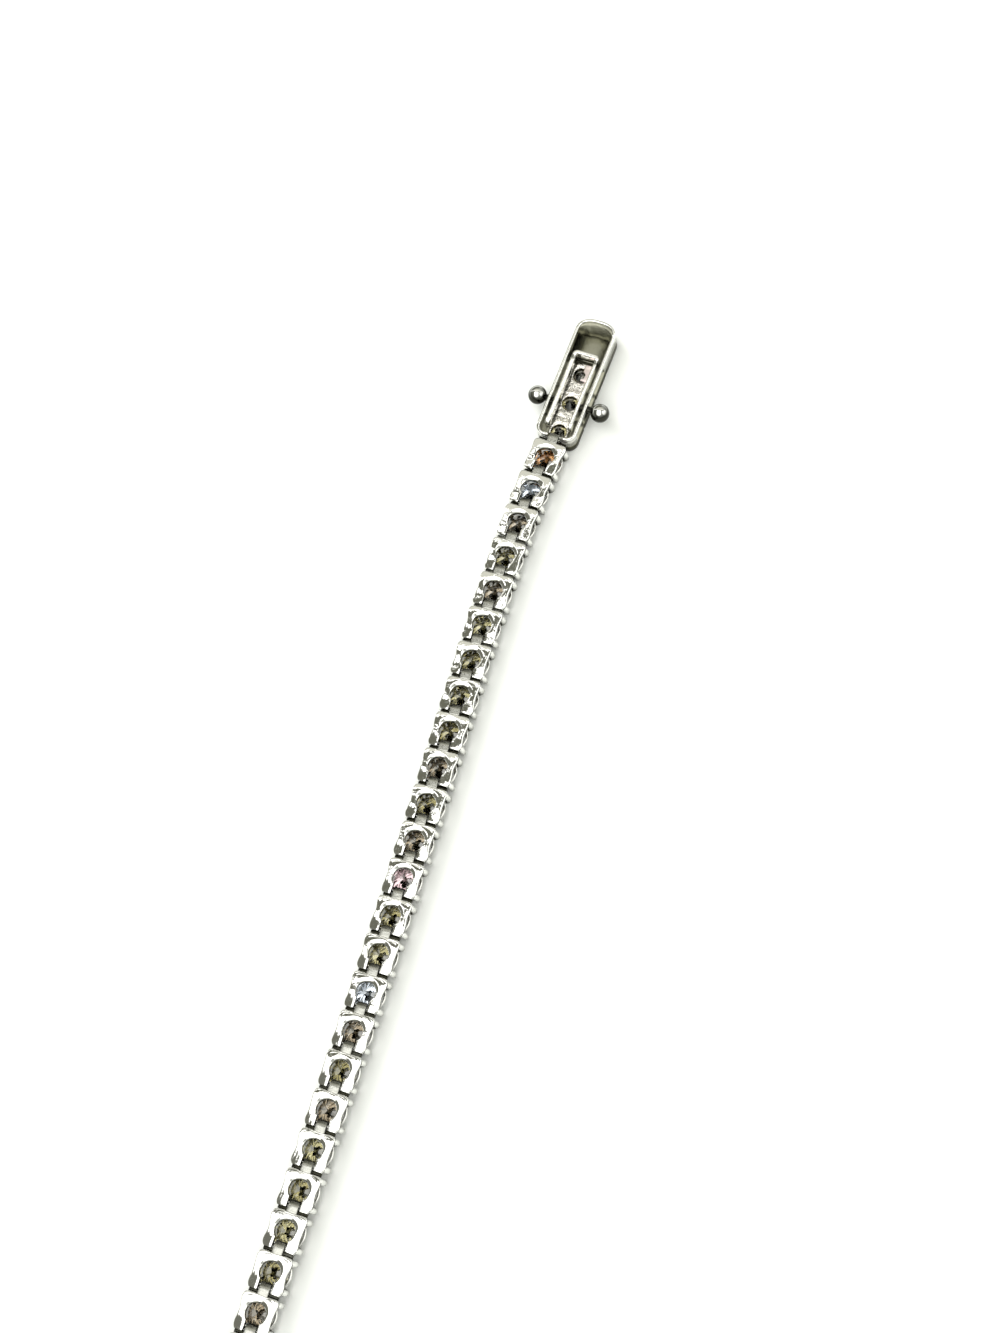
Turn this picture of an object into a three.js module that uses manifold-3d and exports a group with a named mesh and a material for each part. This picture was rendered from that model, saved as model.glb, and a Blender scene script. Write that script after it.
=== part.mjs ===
// A tennis bracelet lying unfastened and face down: forty four-prong links on
// hinge pins, a box clasp with two squeeze-in ball studs, and a plain tongue.
// Millimetres, +Z up. The stones face the ground, so every link's back is on
// top. The bracelet runs along Y with the clasp at the +Y end.

import * as THREE from 'three';
import { mergeVertices } from 'three/addons/utils/BufferGeometryUtils.js';
import Module from 'manifold-3d';

const wasm = await Module();
wasm.setup();

// ---- driving dimensions ----

const LINK_COUNT = 40;
const PITCH = 4.1; // from one hinge line to the next
const HINGE_GAP = 0.2; // open line between two links' backs

// The course: how far each link leans to +X as it runs towards the clasp, in
// degrees. Links between two rows take their share of both.
const COURSE = [
  { link: 1, lean: 5.9 },
  { link: 3, lean: 1.9 },
  { link: 5, lean: -0.4 },
  { link: 8, lean: -1.7 },
  { link: 13, lean: -1.1 },
  { link: 18, lean: -0.1 },
  { link: 24, lean: 0.9 },
  { link: 40, lean: 1.5 },
];
const CLASP_LEAN = 3.2;

const BACK = {
  bottom: 2.25,
  top: 2.95,
  cornerHalf: 1.89,
  waistHalf: 1.72,
};
const HOLE = { radius: 1.07, y: 2.03, arcSteps: 8 };
const SLOT_WIDTH = 1.48;
const TAB = { width: 1.06, bottom: 2.3, top: 2.8, reach: 1.15, rooted: 0.4 };
const HOOK = { start: 0.88, bottom: 1.72 };
const PIN = { y: 0.55, z: 1.95, radius: 0.2, half: 1.35 };
const PRONG = { offset: 1.43, rootHalf: 0.3, tipHalf: 0.26 };
const LINK_STONE = { radius: 1.8, tableRadius: 1.0, tableZ: 0.1, girdleZ: 0.68, culetZ: 2.2, sides: 8 };

const CLASP = {
  half: 2.33,
  base: 0.35,
  baseRadius: 1.1,
  shoulder: 13.8,
  cornerRun: 0.7,
  cornerRise: 1.05,
  archRise: 1.1,
  height: 3.05,
  wall: 0.38,
  floor: 1.4,
};
const CLASP_STONE = { radius: 1.6, tableRadius: 0.9, tableZ: 0.1, girdleZ: 0.65, culetZ: 2.05, sides: 16 };
const CLASP_STONE_Y = [1.75, 5.35, 8.95];
const SEAT = { radius: 1.71, shoulderZ: 0.78, holeRadius: 0.92 };
const SIDE_SLOT = { low: 1.5, high: 10.2, bottom: 1.4, top: 2.5 };
const NOTCH = { half: 0.72, bottom: 1.6, depth: 0.65 };
const CLASP_PIN_HALF = 0.95;

const SPRING = {
  arm: 1.3, // the arms' middle, each side of the centre line
  thick: 0.34,
  bottom: 1.55,
  top: 2.92,
  armLow: 1.85,
  armHigh: 10.55,
  barLow: 10.85,
  barHigh: 11.22,
  barBottom: 1.46,
};
const STUD = { y: 5.05, z: 1.95, stemRadius: 0.42, ballRadius: 1.07, ballCentre: 3.72, sunk: 0.6 };

const TONGUE = {
  blockHalf: 1.62,
  blockLength: 2.5,
  blockTop: 2.85,
  plateHalf: 1.15,
  plateLength: 7.2,
  plateBottom: 1.3,
  plateTop: 2.3,
  endChamfer: 0.6,
};

// ---- materials ----

const polishedSilver = new THREE.MeshStandardMaterial({ color: 0xd8d8d2, roughness: 0.14, metalness: 1 });
const springSilver = new THREE.MeshStandardMaterial({ color: 0xe6e6de, roughness: 0.2, metalness: 1 });
const clearStone = new THREE.MeshStandardMaterial({ color: 0x6b6450, roughness: 0.03, metalness: 0 });

// ---- solids ----

// A closed geometry as a solid, with shared corners merged and empty triangles left out.
function solidOf(geometry) {
  const bare = geometry.clone();
  bare.deleteAttribute('normal');
  bare.deleteAttribute('uv');
  const merged = mergeVertices(bare, 1e-4);
  const index = merged.index.array;
  const kept = [];
  for (let i = 0; i < index.length; i += 3) {
    const [a, b, c] = [index[i], index[i + 1], index[i + 2]];
    if (a !== b && b !== c && c !== a) kept.push(a, b, c);
  }
  return new wasm.Manifold(new wasm.Mesh({
    numProp: 3,
    vertProperties: new Float32Array(merged.attributes.position.array),
    triVerts: new Uint32Array(kept),
  }));
}

function geometryOf(solid) {
  const mesh = solid.getMesh();
  const geometry = new THREE.BufferGeometry();
  geometry.setAttribute('position', new THREE.BufferAttribute(mesh.vertProperties, 3));
  geometry.setIndex(new THREE.BufferAttribute(mesh.triVerts, 1));
  geometry.computeVertexNormals();
  return geometry;
}

const joined = (solids) => solids.reduce((sum, next) => sum.add(next));

function block(x, y, z) {
  const geometry = new THREE.BoxGeometry(x[1] - x[0], y[1] - y[0], z[1] - z[0]);
  geometry.translate((x[0] + x[1]) / 2, (y[0] + y[1]) / 2, (z[0] + z[1]) / 2);
  return solidOf(geometry);
}

function slab(shape, bottom, top, curveSegments) {
  const geometry = new THREE.ExtrudeGeometry(shape, { depth: top - bottom, bevelEnabled: false, curveSegments });
  geometry.translate(0, 0, bottom);
  return solidOf(geometry);
}

// A profile of [radius, height] pairs, bottom to top, turned about an upright axis at (0, y).
function turned(profile, sides, y) {
  const points = profile.map(([radius, height]) => new THREE.Vector2(radius, height));
  const geometry = new THREE.LatheGeometry(points, sides, Math.PI / sides);
  geometry.rotateX(Math.PI / 2);
  geometry.translate(0, y, 0);
  return solidOf(geometry);
}

// A rod along X between two sides.
function rod(radius, sides, x, y, z) {
  const geometry = new THREE.CylinderGeometry(radius, radius, x[1] - x[0], sides);
  geometry.rotateZ(Math.PI / 2);
  geometry.translate((x[0] + x[1]) / 2, y, z);
  return solidOf(geometry);
}

// A cut stone, table down: a flat table, a crown up to the girdle, and a pointed pavilion.
function stone(cut, y) {
  const profile = [
    [0, cut.tableZ],
    [cut.tableRadius, cut.tableZ],
    [cut.radius, cut.girdleZ],
    [0, cut.culetZ],
  ];
  return turned(profile, cut.sides, y);
}

// ---- a link ----

// The back: a horseshoe with waisted sides, a round window and a slot open to the lower end.
function backShape() {
  const low = HINGE_GAP / 2;
  const high = PITCH - HINGE_GAP / 2;
  const slotHalf = SLOT_WIDTH / 2;
  const drop = Math.sqrt(HOLE.radius ** 2 - slotHalf ** 2);
  const mouth = Math.atan2(drop, slotHalf);
  const side = [
    [slotHalf, low],
    [BACK.cornerHalf, low],
    [BACK.waistHalf, PITCH / 2],
    [BACK.cornerHalf, high],
  ];
  const shape = new THREE.Shape();
  shape.moveTo(...side[0]);
  side.slice(1).forEach(([x, y]) => shape.lineTo(x, y));
  side.toReversed().forEach(([x, y]) => shape.lineTo(-x, y));
  shape.lineTo(-slotHalf, HOLE.y - drop);
  shape.absarc(0, HOLE.y, HOLE.radius, Math.PI + mouth, -mouth, true);
  shape.closePath();
  return shape;
}

// The flat tab that runs into the next slot, with its end turned down over that link's pin.
function tab(headY) {
  const hingeY = headY + HINGE_GAP / 2;
  const profile = [
    [headY - TAB.rooted, TAB.bottom],
    [hingeY + HOOK.start, TAB.bottom],
    [hingeY + HOOK.start, HOOK.bottom],
    [hingeY + TAB.reach, HOOK.bottom],
    [hingeY + TAB.reach, TAB.top],
    [headY - TAB.rooted, TAB.top],
  ].map(([y, z]) => new THREE.Vector2(y, z));
  const geometry = new THREE.ExtrudeGeometry(new THREE.Shape(profile), { depth: TAB.width, bevelEnabled: false });
  geometry.rotateX(Math.PI / 2);
  geometry.rotateZ(Math.PI / 2);
  geometry.translate(-TAB.width / 2, 0, 0);
  return solidOf(geometry);
}

function prong(x, y) {
  const height = BACK.bottom + 0.2;
  const toCorner = Math.SQRT2;
  const geometry = new THREE.CylinderGeometry(PRONG.rootHalf * toCorner, PRONG.tipHalf * toCorner, height, 4);
  geometry.rotateY(Math.PI / 4);
  geometry.rotateX(Math.PI / 2);
  geometry.translate(x, y, height / 2);
  return solidOf(geometry);
}

function linkGeometry() {
  const prongs = [-1, 1].flatMap((x) => [-1, 1].map((y) => (
    prong(x * PRONG.offset, HOLE.y + y * PRONG.offset)
  )));
  return geometryOf(joined([
    slab(backShape(), BACK.bottom, BACK.top, HOLE.arcSteps),
    tab(PITCH - HINGE_GAP / 2),
    ...prongs,
    rod(PIN.radius, 4, [-PIN.half, PIN.half], PIN.y, PIN.z),
    stone(LINK_STONE, HOLE.y),
  ]));
}

// ---- the clasp ----

// The housing's outline: straight sides, rounded base corners and a shallow arched tip.
function claspShape(inset) {
  const half = CLASP.half - inset;
  const base = CLASP.base + inset;
  const radius = CLASP.baseRadius - inset;
  const rise = CLASP.cornerRise - inset;
  const archX = half - CLASP.cornerRun;
  const archY = CLASP.shoulder + rise;
  const shape = new THREE.Shape();
  shape.moveTo(-half + radius, base);
  shape.lineTo(half - radius, base);
  shape.absarc(half - radius, base + radius, radius, -Math.PI / 2, 0, false);
  shape.lineTo(half, CLASP.shoulder);
  shape.quadraticCurveTo(half, archY - 0.2, archX, archY);
  shape.quadraticCurveTo(0, archY + CLASP.archRise, -archX, archY);
  shape.quadraticCurveTo(-half, archY - 0.2, -half, CLASP.shoulder);
  shape.lineTo(-half, base + radius);
  shape.absarc(-half + radius, base + radius, radius, Math.PI, 1.5 * Math.PI, false);
  return shape;
}

function claspGeometry() {
  const beyond = 0.5;
  const body = slab(claspShape(0), 0, CLASP.height, 5);
  const hollow = slab(claspShape(CLASP.wall), CLASP.floor, CLASP.height + beyond, 5);
  const notch = block(
    [-NOTCH.half, NOTCH.half], [CLASP.base - beyond, CLASP.base + NOTCH.depth],
    [NOTCH.bottom, CLASP.height + beyond],
  );
  const sideSlots = [-1, 1].map((side) => {
    const across = [CLASP.half - CLASP.wall - 0.02, CLASP.half + beyond].map((x) => side * x);
    return block(across.sort((a, b) => a - b), [SIDE_SLOT.low, SIDE_SLOT.high], [SIDE_SLOT.bottom, SIDE_SLOT.top]);
  });
  const seatProfile = [
    [0, -beyond],
    [SEAT.radius, -beyond],
    [SEAT.radius, SEAT.shoulderZ],
    [SEAT.holeRadius, CLASP.floor],
    [SEAT.holeRadius, CLASP.floor + beyond],
    [0, CLASP.floor + beyond],
  ];
  const seats = CLASP_STONE_Y.map((y) => turned(seatProfile, 16, y));
  const cut = joined([hollow, notch, ...sideSlots, ...seats]);
  const pin = rod(PIN.radius, 8, [-CLASP_PIN_HALF, CLASP_PIN_HALF], PIN.y, PIN.z);
  return geometryOf(body.subtract(cut).add(pin));
}

function springBarGeometry() {
  const half = SPRING.arm + SPRING.thick / 2;
  return geometryOf(block([-half, half], [SPRING.barLow, SPRING.barHigh], [SPRING.barBottom, SPRING.top]));
}

// One spring arm with its ball stud, on the +X side for side = 1.
function armGeometry(side) {
  const strip = [SPRING.arm - SPRING.thick / 2, SPRING.arm + SPRING.thick / 2].map((x) => side * x);
  const stem = [SPRING.arm, STUD.ballCentre - STUD.sunk].map((x) => side * x);
  const ball = new THREE.SphereGeometry(STUD.ballRadius, 12, 8);
  ball.rotateX(Math.PI / 2);
  ball.translate(side * STUD.ballCentre, STUD.y, STUD.z);
  return geometryOf(joined([
    block(strip.sort((a, b) => a - b), [SPRING.armLow, SPRING.armHigh], [SPRING.bottom, SPRING.top]),
    rod(STUD.stemRadius, 8, stem.sort((a, b) => a - b), STUD.y, STUD.z),
    solidOf(ball),
  ]));
}

// ---- the plain end ----

function tongueGeometry() {
  const head = -HINGE_GAP / 2;
  const blockEnd = head - TONGUE.blockLength;
  const end = blockEnd - TONGUE.plateLength;
  const tip = TONGUE.plateHalf - TONGUE.endChamfer;
  const plate = new THREE.Shape([
    [TONGUE.plateHalf, blockEnd + 0.5],
    [-TONGUE.plateHalf, blockEnd + 0.5],
    [-TONGUE.plateHalf, end + TONGUE.endChamfer],
    [-tip, end],
    [tip, end],
    [TONGUE.plateHalf, end + TONGUE.endChamfer],
  ].map(([x, y]) => new THREE.Vector2(x, y)));
  return geometryOf(joined([
    block([-TONGUE.blockHalf, TONGUE.blockHalf], [blockEnd, head], [0, TONGUE.blockTop]),
    slab(plate, TONGUE.plateBottom, TONGUE.plateTop, 1),
    tab(head),
  ]));
}

// ---- the assembly ----

function named(name, geometry, material) {
  const mesh = new THREE.Mesh(geometry, material);
  mesh.name = name;
  return mesh;
}

function leanOf(link) {
  const after = Math.max(1, COURSE.findIndex((row) => row.link >= link));
  const [from, to] = [COURSE[after - 1], COURSE[after]];
  const share = (link - from.link) / (to.link - from.link);
  return THREE.MathUtils.degToRad(from.lean + share * (to.lean - from.lean));
}

function placed(object, at, lean) {
  object.position.set(at.x, at.y, 0);
  object.rotation.z = -lean;
  return object;
}

const bracelet = new THREE.Group();

const clasp = new THREE.Group();
clasp.add(
  named('clasp_housing', claspGeometry(), polishedSilver),
  named('spring_bar', springBarGeometry(), springSilver),
  named('spring_arm_left', armGeometry(-1), springSilver),
  named('spring_arm_right', armGeometry(1), springSilver),
);
CLASP_STONE_Y.forEach((y, i) => {
  clasp.add(named(`clasp_stone_${i + 1}`, geometryOf(stone(CLASP_STONE, y)), clearStone));
});
const hinge = new THREE.Vector2(0, 0);
bracelet.add(placed(clasp, hinge, THREE.MathUtils.degToRad(CLASP_LEAN)));

const link = linkGeometry();
for (let i = 1; i <= LINK_COUNT; i += 1) {
  const lean = leanOf(i);
  hinge.x -= PITCH * Math.sin(lean);
  hinge.y -= PITCH * Math.cos(lean);
  bracelet.add(placed(named(`link_${String(i).padStart(2, '0')}`, link, polishedSilver), hinge, lean));
}
bracelet.add(placed(named('tongue', tongueGeometry(), polishedSilver), hinge, leanOf(LINK_COUNT)));

// The origin is on the ground, under the middle of the whole bracelet.
const middle = new THREE.Box3().setFromObject(bracelet, true).getCenter(new THREE.Vector3());
bracelet.position.set(-middle.x, -middle.y, 0);
bracelet.updateMatrixWorld(true);

export default bracelet;
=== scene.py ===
"""A tennis bracelet lying unfastened and face down: polished silver links with
round stones, a box clasp with ball studs, and a plain tongue. Sizes are in
millimetres and become metres where a mesh is made."""

import math

import bmesh
import bpy
import numpy as np
from mathutils import Matrix, Vector


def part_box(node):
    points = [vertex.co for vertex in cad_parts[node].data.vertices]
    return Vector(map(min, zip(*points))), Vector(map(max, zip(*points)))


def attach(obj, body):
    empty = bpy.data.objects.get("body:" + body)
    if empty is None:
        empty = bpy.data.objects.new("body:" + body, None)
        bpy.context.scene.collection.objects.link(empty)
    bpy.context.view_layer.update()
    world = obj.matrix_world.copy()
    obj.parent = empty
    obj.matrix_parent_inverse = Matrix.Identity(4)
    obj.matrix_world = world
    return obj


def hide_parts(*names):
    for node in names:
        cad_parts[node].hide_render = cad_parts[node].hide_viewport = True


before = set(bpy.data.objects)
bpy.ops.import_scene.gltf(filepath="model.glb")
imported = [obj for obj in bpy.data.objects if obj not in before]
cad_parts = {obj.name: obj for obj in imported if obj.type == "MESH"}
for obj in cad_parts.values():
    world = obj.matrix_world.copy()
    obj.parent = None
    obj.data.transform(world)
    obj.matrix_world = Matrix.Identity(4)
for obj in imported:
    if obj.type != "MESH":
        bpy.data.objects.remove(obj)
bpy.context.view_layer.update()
MM = 0.001
BRACELET = "bracelet"


# ---- camera ----
# Looks down on the backs of the links from above the middle of the bracelet,
# a little from its right and from its tongue end, so that the clasp lies at
# the upper right and the far links leave the view at the lower left.

CAMERA = {"aim_x": 2.292, "aim_y": 52.6, "aim_z": 2.95, "distance": 212.7, "right": 12.5, "below": 15.7, "roll": 18.5}
LENS = 54.0
SENSOR = 36.0


def camera_turn():
    """Three camera axes: back is up, leaned to +X and -Y by the two angles; right and up are turned about it."""
    lean_right = math.tan(math.radians(CAMERA["right"]))
    lean_below = math.tan(math.radians(CAMERA["below"]))
    back = Vector((lean_right, -lean_below, 1.0)).normalized()
    right = Vector((0, 1, 0)).cross(back).normalized()
    roll = Matrix.Rotation(math.radians(CAMERA["roll"]), 3, back)
    right = roll @ right
    up = back.cross(right)
    return Matrix((right, up, back)).transposed(), back


turn, back = camera_turn()
aim = Vector((CAMERA["aim_x"], CAMERA["aim_y"], CAMERA["aim_z"])) * MM
camera_data = bpy.data.cameras.new("camera")
camera_data.lens = LENS
camera_data.sensor_width = SENSOR
camera_data.clip_start = 0.005
camera_data.clip_end = 10
camera = bpy.data.objects.new("camera", camera_data)
camera.matrix_world = Matrix.Translation(aim + back * CAMERA["distance"] * MM) @ turn.to_4x4()
bpy.context.scene.collection.objects.link(camera)
bpy.context.scene.camera = camera
bpy.context.scene.view_settings.view_transform = "Standard"


# ---- ground and light ----
# A plain white ground. The room is bright overhead, to the right and towards
# the viewer, and dim to the left and behind, as polished metal shows it.

ground = bpy.data.meshes.new("ground")
reach = 3.0
ground.from_pydata([(-reach, -reach, 0), (reach, -reach, 0), (reach, reach, 0), (-reach, reach, 0)], [], [(0, 1, 2, 3)])
ground_object = bpy.data.objects.new("ground", ground)
bpy.context.scene.collection.objects.link(ground_object)
paper = bpy.data.materials.new("white_ground")
paper.use_nodes = True
paper_shader = paper.node_tree.nodes["Principled BSDF"]
paper_shader.inputs["Base Color"].default_value = (0.93, 0.945, 0.925, 1)
paper_shader.inputs["Roughness"].default_value = 0.6
paper_shader.inputs["Specular IOR Level"].default_value = 0.2
ground.materials.append(paper)


def room_light():
    """Room brightness by direction: a base tone, plus soft-edged patches, each a smooth step of the direction's
    product with the patch's own direction. Seen directly, past the ground's edge, the room is as pale as the ground."""
    world = bpy.data.worlds.new("room")
    bpy.context.scene.world = world
    world.use_nodes = True
    nodes, links = world.node_tree.nodes, world.node_tree.links
    place = nodes.new("ShaderNodeTexCoord")

    def patch(direction, start, end):
        dot = nodes.new("ShaderNodeVectorMath")
        dot.operation = "DOT_PRODUCT"
        dot.inputs[1].default_value = direction
        links.new(place.outputs["Generated"], dot.inputs[0])
        step = nodes.new("ShaderNodeMapRange")
        step.interpolation_type = "SMOOTHSTEP"
        step.inputs["From Min"].default_value = start
        step.inputs["From Max"].default_value = end
        links.new(dot.outputs["Value"], step.inputs["Value"])
        return step.outputs["Result"]

    def layered(under, colour, mask):
        mix = nodes.new("ShaderNodeMix")
        mix.data_type = "RGBA"
        mix.inputs["B"].default_value = (*colour, 1)
        if isinstance(under, tuple):
            mix.inputs["A"].default_value = (*under, 1)
        else:
            links.new(under, mix.inputs["A"])
        links.new(mask, mix.inputs["Factor"])
        return mix.outputs["Result"]

    def both(first, second):
        product = nodes.new("ShaderNodeMath")
        product.operation = "MULTIPLY"
        links.new(first, product.inputs[0])
        links.new(second, product.inputs[1])
        return product.outputs[0]

    ahead, astern = (-0.16, 0.985, 0.0), (0.16, -0.985, 0.0)
    tone = layered((0.17, 0.17, 0.14), (0.45, 0.46, 0.42), patch((1, 0, 0), -0.15, 0.15))
    tone = layered(tone, (2.0, 2.0, 1.9), patch((0.83, 0.15, 0.53), 0.84, 0.93))
    tone = layered(tone, (2.4, 2.4, 2.3), patch((-0.05, -0.5, 0.86), 0.86, 0.93))
    tone = layered(tone, (2.3, 2.3, 2.25), patch((-0.15, -0.1, 0.98), 0.89, 0.92))
    tone = layered(tone, (0.15, 0.15, 0.115), both(patch(ahead, 0.185, 0.23), patch((0, 0, 1), 0.5, 0.7)))
    far = both(patch(ahead, 0.36, 0.375), patch(astern, -0.45, -0.42))
    tone = layered(tone, (2.1, 2.1, 2.05), far)
    tone = layered(tone, (0.72, 0.71, 0.62), both(patch(ahead, 0.43, 0.46), patch((0, 0, 1), 0.45, 0.7)))
    backdrop = nodes.new("ShaderNodeMix")
    backdrop.data_type = "RGBA"
    backdrop.inputs["B"].default_value = (0.93, 0.945, 0.925, 1)
    links.new(nodes.new("ShaderNodeLightPath").outputs["Is Camera Ray"], backdrop.inputs["Factor"])
    links.new(tone, backdrop.inputs["A"])
    links.new(backdrop.outputs["Result"], nodes["Background"].inputs["Color"])
    nodes["Background"].inputs["Strength"].default_value = 1.0


room_light()


def lamp(name, place, size, power, colour):
    """A square soft lamp at a place in metres, facing the aim point; polished metal doesn't mirror it."""
    data = bpy.data.lights.new(name, "AREA")
    data.size = size
    data.energy = power
    data.color = colour
    thing = bpy.data.objects.new(name, data)
    thing.location = place
    thing.rotation_euler = (Vector(place) - aim).to_track_quat("Z", "Y").to_euler()
    thing.visible_glossy = False
    thing.visible_transmission = False
    bpy.context.scene.collection.objects.link(thing)


lamp("window", (-0.55, 0.25, 0.5), 0.5, 4.0, (1.0, 1.0, 0.97))


# ---- polished silver ----
# Cast silver, tumbled and buffed by hand: mirror-bright with shallow waves
# from the casting, fine rubbing marks, and painted shade: the colour darkens
# low down in the gaps.


def buffed_cast():
    """Group: casting waves and rubbing marks as one height, a roughness that follows them, and a colour with painted
    shade, which darkens from the back's height down to the ground."""
    group = bpy.data.node_groups.new("buffed_cast", "ShaderNodeTree")
    socket = group.interface.new_socket
    socket("Wave Size", in_out="INPUT", socket_type="NodeSocketFloat").default_value = 900
    socket("Rough Low", in_out="INPUT", socket_type="NodeSocketFloat").default_value = 0.05
    socket("Rough High", in_out="INPUT", socket_type="NodeSocketFloat").default_value = 0.2
    socket("Unshaded Colour", in_out="INPUT", socket_type="NodeSocketColor").default_value = (0.88, 0.88, 0.85, 1)
    socket("Shade Colour", in_out="INPUT", socket_type="NodeSocketColor").default_value = (0.3, 0.29, 0.23, 1)
    socket("Deep Height", in_out="INPUT", socket_type="NodeSocketFloat").default_value = 0.0006
    socket("Bright Height", in_out="INPUT", socket_type="NodeSocketFloat").default_value = 0.0024
    socket("Color", in_out="OUTPUT", socket_type="NodeSocketColor")
    socket("Roughness", in_out="OUTPUT", socket_type="NodeSocketFloat")
    socket("Height", in_out="OUTPUT", socket_type="NodeSocketFloat")
    nodes, links = group.nodes, group.links
    given = nodes.new("NodeGroupInput")
    out = nodes.new("NodeGroupOutput")
    place = nodes.new("ShaderNodeTexCoord")
    waves = nodes.new("ShaderNodeTexNoise")
    waves.inputs["Detail"].default_value = 3
    links.new(place.outputs["Object"], waves.inputs["Vector"])
    links.new(given.outputs["Wave Size"], waves.inputs["Scale"])
    marks = nodes.new("ShaderNodeTexNoise")
    marks.inputs["Scale"].default_value = 6000
    marks.inputs["Detail"].default_value = 2
    links.new(place.outputs["Object"], marks.inputs["Vector"])
    height = nodes.new("ShaderNodeMath")
    height.operation = "MULTIPLY_ADD"
    height.inputs[1].default_value = 0.035
    links.new(marks.outputs["Fac"], height.inputs[0])
    links.new(waves.outputs["Fac"], height.inputs[2])
    links.new(height.outputs["Value"], out.inputs["Height"])
    rough = nodes.new("ShaderNodeMapRange")
    rough.inputs["From Min"].default_value = 0.35
    rough.inputs["From Max"].default_value = 0.7
    links.new(marks.outputs["Fac"], rough.inputs["Value"])
    links.new(given.outputs["Rough Low"], rough.inputs["To Min"])
    links.new(given.outputs["Rough High"], rough.inputs["To Max"])
    links.new(rough.outputs["Result"], out.inputs["Roughness"])
    apart = nodes.new("ShaderNodeSeparateXYZ")
    links.new(place.outputs["Object"], apart.inputs["Vector"])
    depth = nodes.new("ShaderNodeMapRange")
    depth.interpolation_type = "SMOOTHSTEP"
    links.new(apart.outputs["Z"], depth.inputs["Value"])
    links.new(given.outputs["Deep Height"], depth.inputs["From Min"])
    links.new(given.outputs["Bright Height"], depth.inputs["From Max"])
    # painted shade: the colour runs from the shade colour low down to the unshaded colour up high
    skin = nodes.new("ShaderNodeMix")
    skin.data_type = "RGBA"
    links.new(depth.outputs["Result"], skin.inputs["Factor"])
    links.new(given.outputs["Shade Colour"], skin.inputs["A"])
    links.new(given.outputs["Unshaded Colour"], skin.inputs["B"])
    links.new(skin.outputs["Result"], out.inputs["Color"])
    return group


BUFFED_CAST = buffed_cast()


def silver(name, wave_size, bump, rough_low, rough_high, deep_height, bright_height, deep, bright):
    """A polished silver material: the buffed cast group feeds colour, roughness and bump of one metallic shader."""
    material = bpy.data.materials.new(name)
    material.use_nodes = True
    nodes, links = material.node_tree.nodes, material.node_tree.links
    shader = nodes["Principled BSDF"]
    shader.inputs["Metallic"].default_value = 1.0
    cast = nodes.new("ShaderNodeGroup")
    cast.node_tree = BUFFED_CAST
    cast.inputs["Wave Size"].default_value = wave_size
    cast.inputs["Rough Low"].default_value = rough_low
    cast.inputs["Rough High"].default_value = rough_high
    cast.inputs["Deep Height"].default_value = deep_height
    cast.inputs["Bright Height"].default_value = bright_height
    cast.inputs["Shade Colour"].default_value = (*deep, 1)
    cast.inputs["Unshaded Colour"].default_value = (*bright, 1)
    relief = nodes.new("ShaderNodeBump")
    relief.inputs["Strength"].default_value = 1.0
    relief.inputs["Distance"].default_value = bump
    links.new(cast.outputs["Color"], shader.inputs["Base Color"])
    links.new(cast.outputs["Roughness"], shader.inputs["Roughness"])
    links.new(cast.outputs["Height"], relief.inputs["Height"])
    links.new(relief.outputs["Normal"], shader.inputs["Normal"])
    return material


# Painted shade: the link metal falls to near black below the back, on the prongs, the rail and round the stone.
SHADED_TONE, LIT_TONE = (0.06, 0.057, 0.036), (0.92, 0.92, 0.89)
LINK_SILVER = silver("link_silver", 650, 0.00005, 0.03, 0.12, 0.0004, 0.002, SHADED_TONE, LIT_TONE)
# Painted shade: the tab is grey on top, where it lies sunk in the slot, and near black where it turns down into the
# hinge.
TAB_SILVER = silver("tab_silver", 900, 0.00005, 0.2, 0.36, 0.0024, 0.0027, (0.03, 0.03, 0.02), (0.46, 0.46, 0.42))
# Painted shade: a near-black silver for the back's wall strips, the dark lines in the gaps.
SHADE_WALL_SILVER = silver("painted_shade_silver", 900, 0.00004, 0.2, 0.4, 0.001, 0.003, (0.02, 0.02, 0.014), (0.05, 0.05, 0.036))


# ---- settings of the links ----
# Each link is one cast setting: a horseshoe back with a countersunk window, a
# slot that the next link's tab fills, four corner prongs bent over the stone,
# a bearing rail between them, and a hinge pin across the slot.

LINKS = 40
PITCH = 4.1
HALF_GAP = 0.1
COURSE_LINKS = [1, 3, 5, 8, 13, 18, 24, 40]
COURSE_LEANS = [5.9, 1.9, -0.4, -1.7, -1.1, -0.1, 0.9, 1.5]
CLASP_LEAN = 3.2
WINDOW = {"radius": 1.07, "y": 2.03}
SLOT_HALF = 0.74
BACK = {"bottom": 2.28, "top": 2.93, "low": 0.15, "half_x": 1.87, "half_y": 1.89, "waist": 0.13, "squareness": 9}
SECTION_POINTS = 17
WALL_STRIPS = [0, 1, 15, 16]
TAB = {"half": 0.56, "bottom": 2.3, "top": 2.84, "reach": 1.15, "root": 0.45, "drop": 1.72}


def stone_two_centre():
    """The middle of the clasp's second stone, which stands 5.35 mm up the clasp's own axis, fixes the clasp's hinge."""
    low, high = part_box("clasp_stone_2")
    return np.array([(low.x + high.x) / 2, (low.y + high.y) / 2]) / MM


def hinge_points():
    """Hinge k is hinge k-1 moved one pitch back against its link's lean. Returns the points and the leans."""
    lean = np.radians(np.interp(np.arange(1, LINKS + 1), COURSE_LINKS, COURSE_LEANS))
    clasp_lean = math.radians(CLASP_LEAN)
    start = stone_two_centre() - 5.35 * np.array([math.sin(clasp_lean), math.cos(clasp_lean)])
    steps = -PITCH * np.stack([np.sin(lean), np.cos(lean)], 1)
    return np.vstack([start, start + np.cumsum(steps, 0)]), lean


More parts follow.
